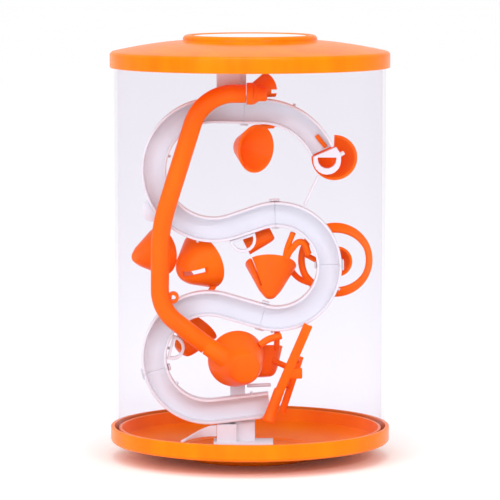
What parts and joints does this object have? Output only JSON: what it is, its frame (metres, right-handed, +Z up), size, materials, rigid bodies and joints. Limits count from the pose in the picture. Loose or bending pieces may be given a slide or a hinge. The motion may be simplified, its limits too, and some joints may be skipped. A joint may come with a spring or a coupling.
{
  "type": "ball maze puzzle",
  "caption": "Ball maze in a clear upright cylinder between two round caps: a winding open channel, cone cups, a pipe, a loop rail and a chute, with a loose ball in the base.",
  "frame": {"origin": "centre of the foot ring's flat face, on the surface the object stands on", "axes": "+Z up along the cylinder's axis; the open side of the channel faces -Y; +X is to the right seen from -Y"},
  "size_m": [0.168, 0.168, 0.255],
  "materials": {
    "orange_plastic": "moulded, glossy",
    "white_plastic": "moulded, satin",
    "clear_plastic": "clear acrylic, polished",
    "steel": "polished steel"
  },
  "bodies": {
    "casing": {"top_cap": "orange_plastic", "bottom_cap": "orange_plastic", "top_disc": "white_plastic", "bottom_disc": "white_plastic", "top_post_screw_1": "steel", "top_post_screw_2": "steel", "bottom_post_screw_1": "steel", "bottom_post_screw_2": "steel", "clear_cylinder": "clear_plastic", "bottom_post": "white_plastic", "top_post": "white_plastic", "base_fin": "white_plastic", "channel_upper_right": "white_plastic", "channel_upper_left": "white_plastic", "channel_middle": "white_plastic", "channel_right": "white_plastic", "channel_lower_left": "white_plastic", "channel_bottom": "white_plastic", "channel_clip_1": "white_plastic", "channel_clip_2": "white_plastic", "channel_clip_3": "white_plastic", "channel_clip_4": "white_plastic", "channel_clip_5": "white_plastic", "side_flap": "white_plastic", "bottom_rib": "white_plastic", "gate_upper": "white_plastic", "release_tab": "orange_plastic", "strut": "white_plastic", "gate_middle": "white_plastic", "gate_lower": "white_plastic", "cup_upper_right": "orange_plastic", "cup_upper_centre": "orange_plastic", "cup_left": "orange_plastic", "cup_centre_left": "orange_plastic", "cup_centre_right": "orange_plastic", "cup_rear_left": "orange_plastic", "cup_rear_right": "orange_plastic", "scoop_middle": "orange_plastic", "loop_rail": "orange_plastic", "pipe": "orange_plastic", "pipe_collar": "orange_plastic", "intake_scoop": "orange_plastic", "funnel_cup": "orange_plastic", "chute": "orange_plastic"},
    "ball": {"steel_ball": "steel"}
  },
  "joints": [
    {"name": "ball_orbit", "type": "hinge", "parent": "casing", "child": "ball", "pos_m": [0, 0, 0.00865], "axis": [0, 0, 1], "continuous": true}
  ]
}
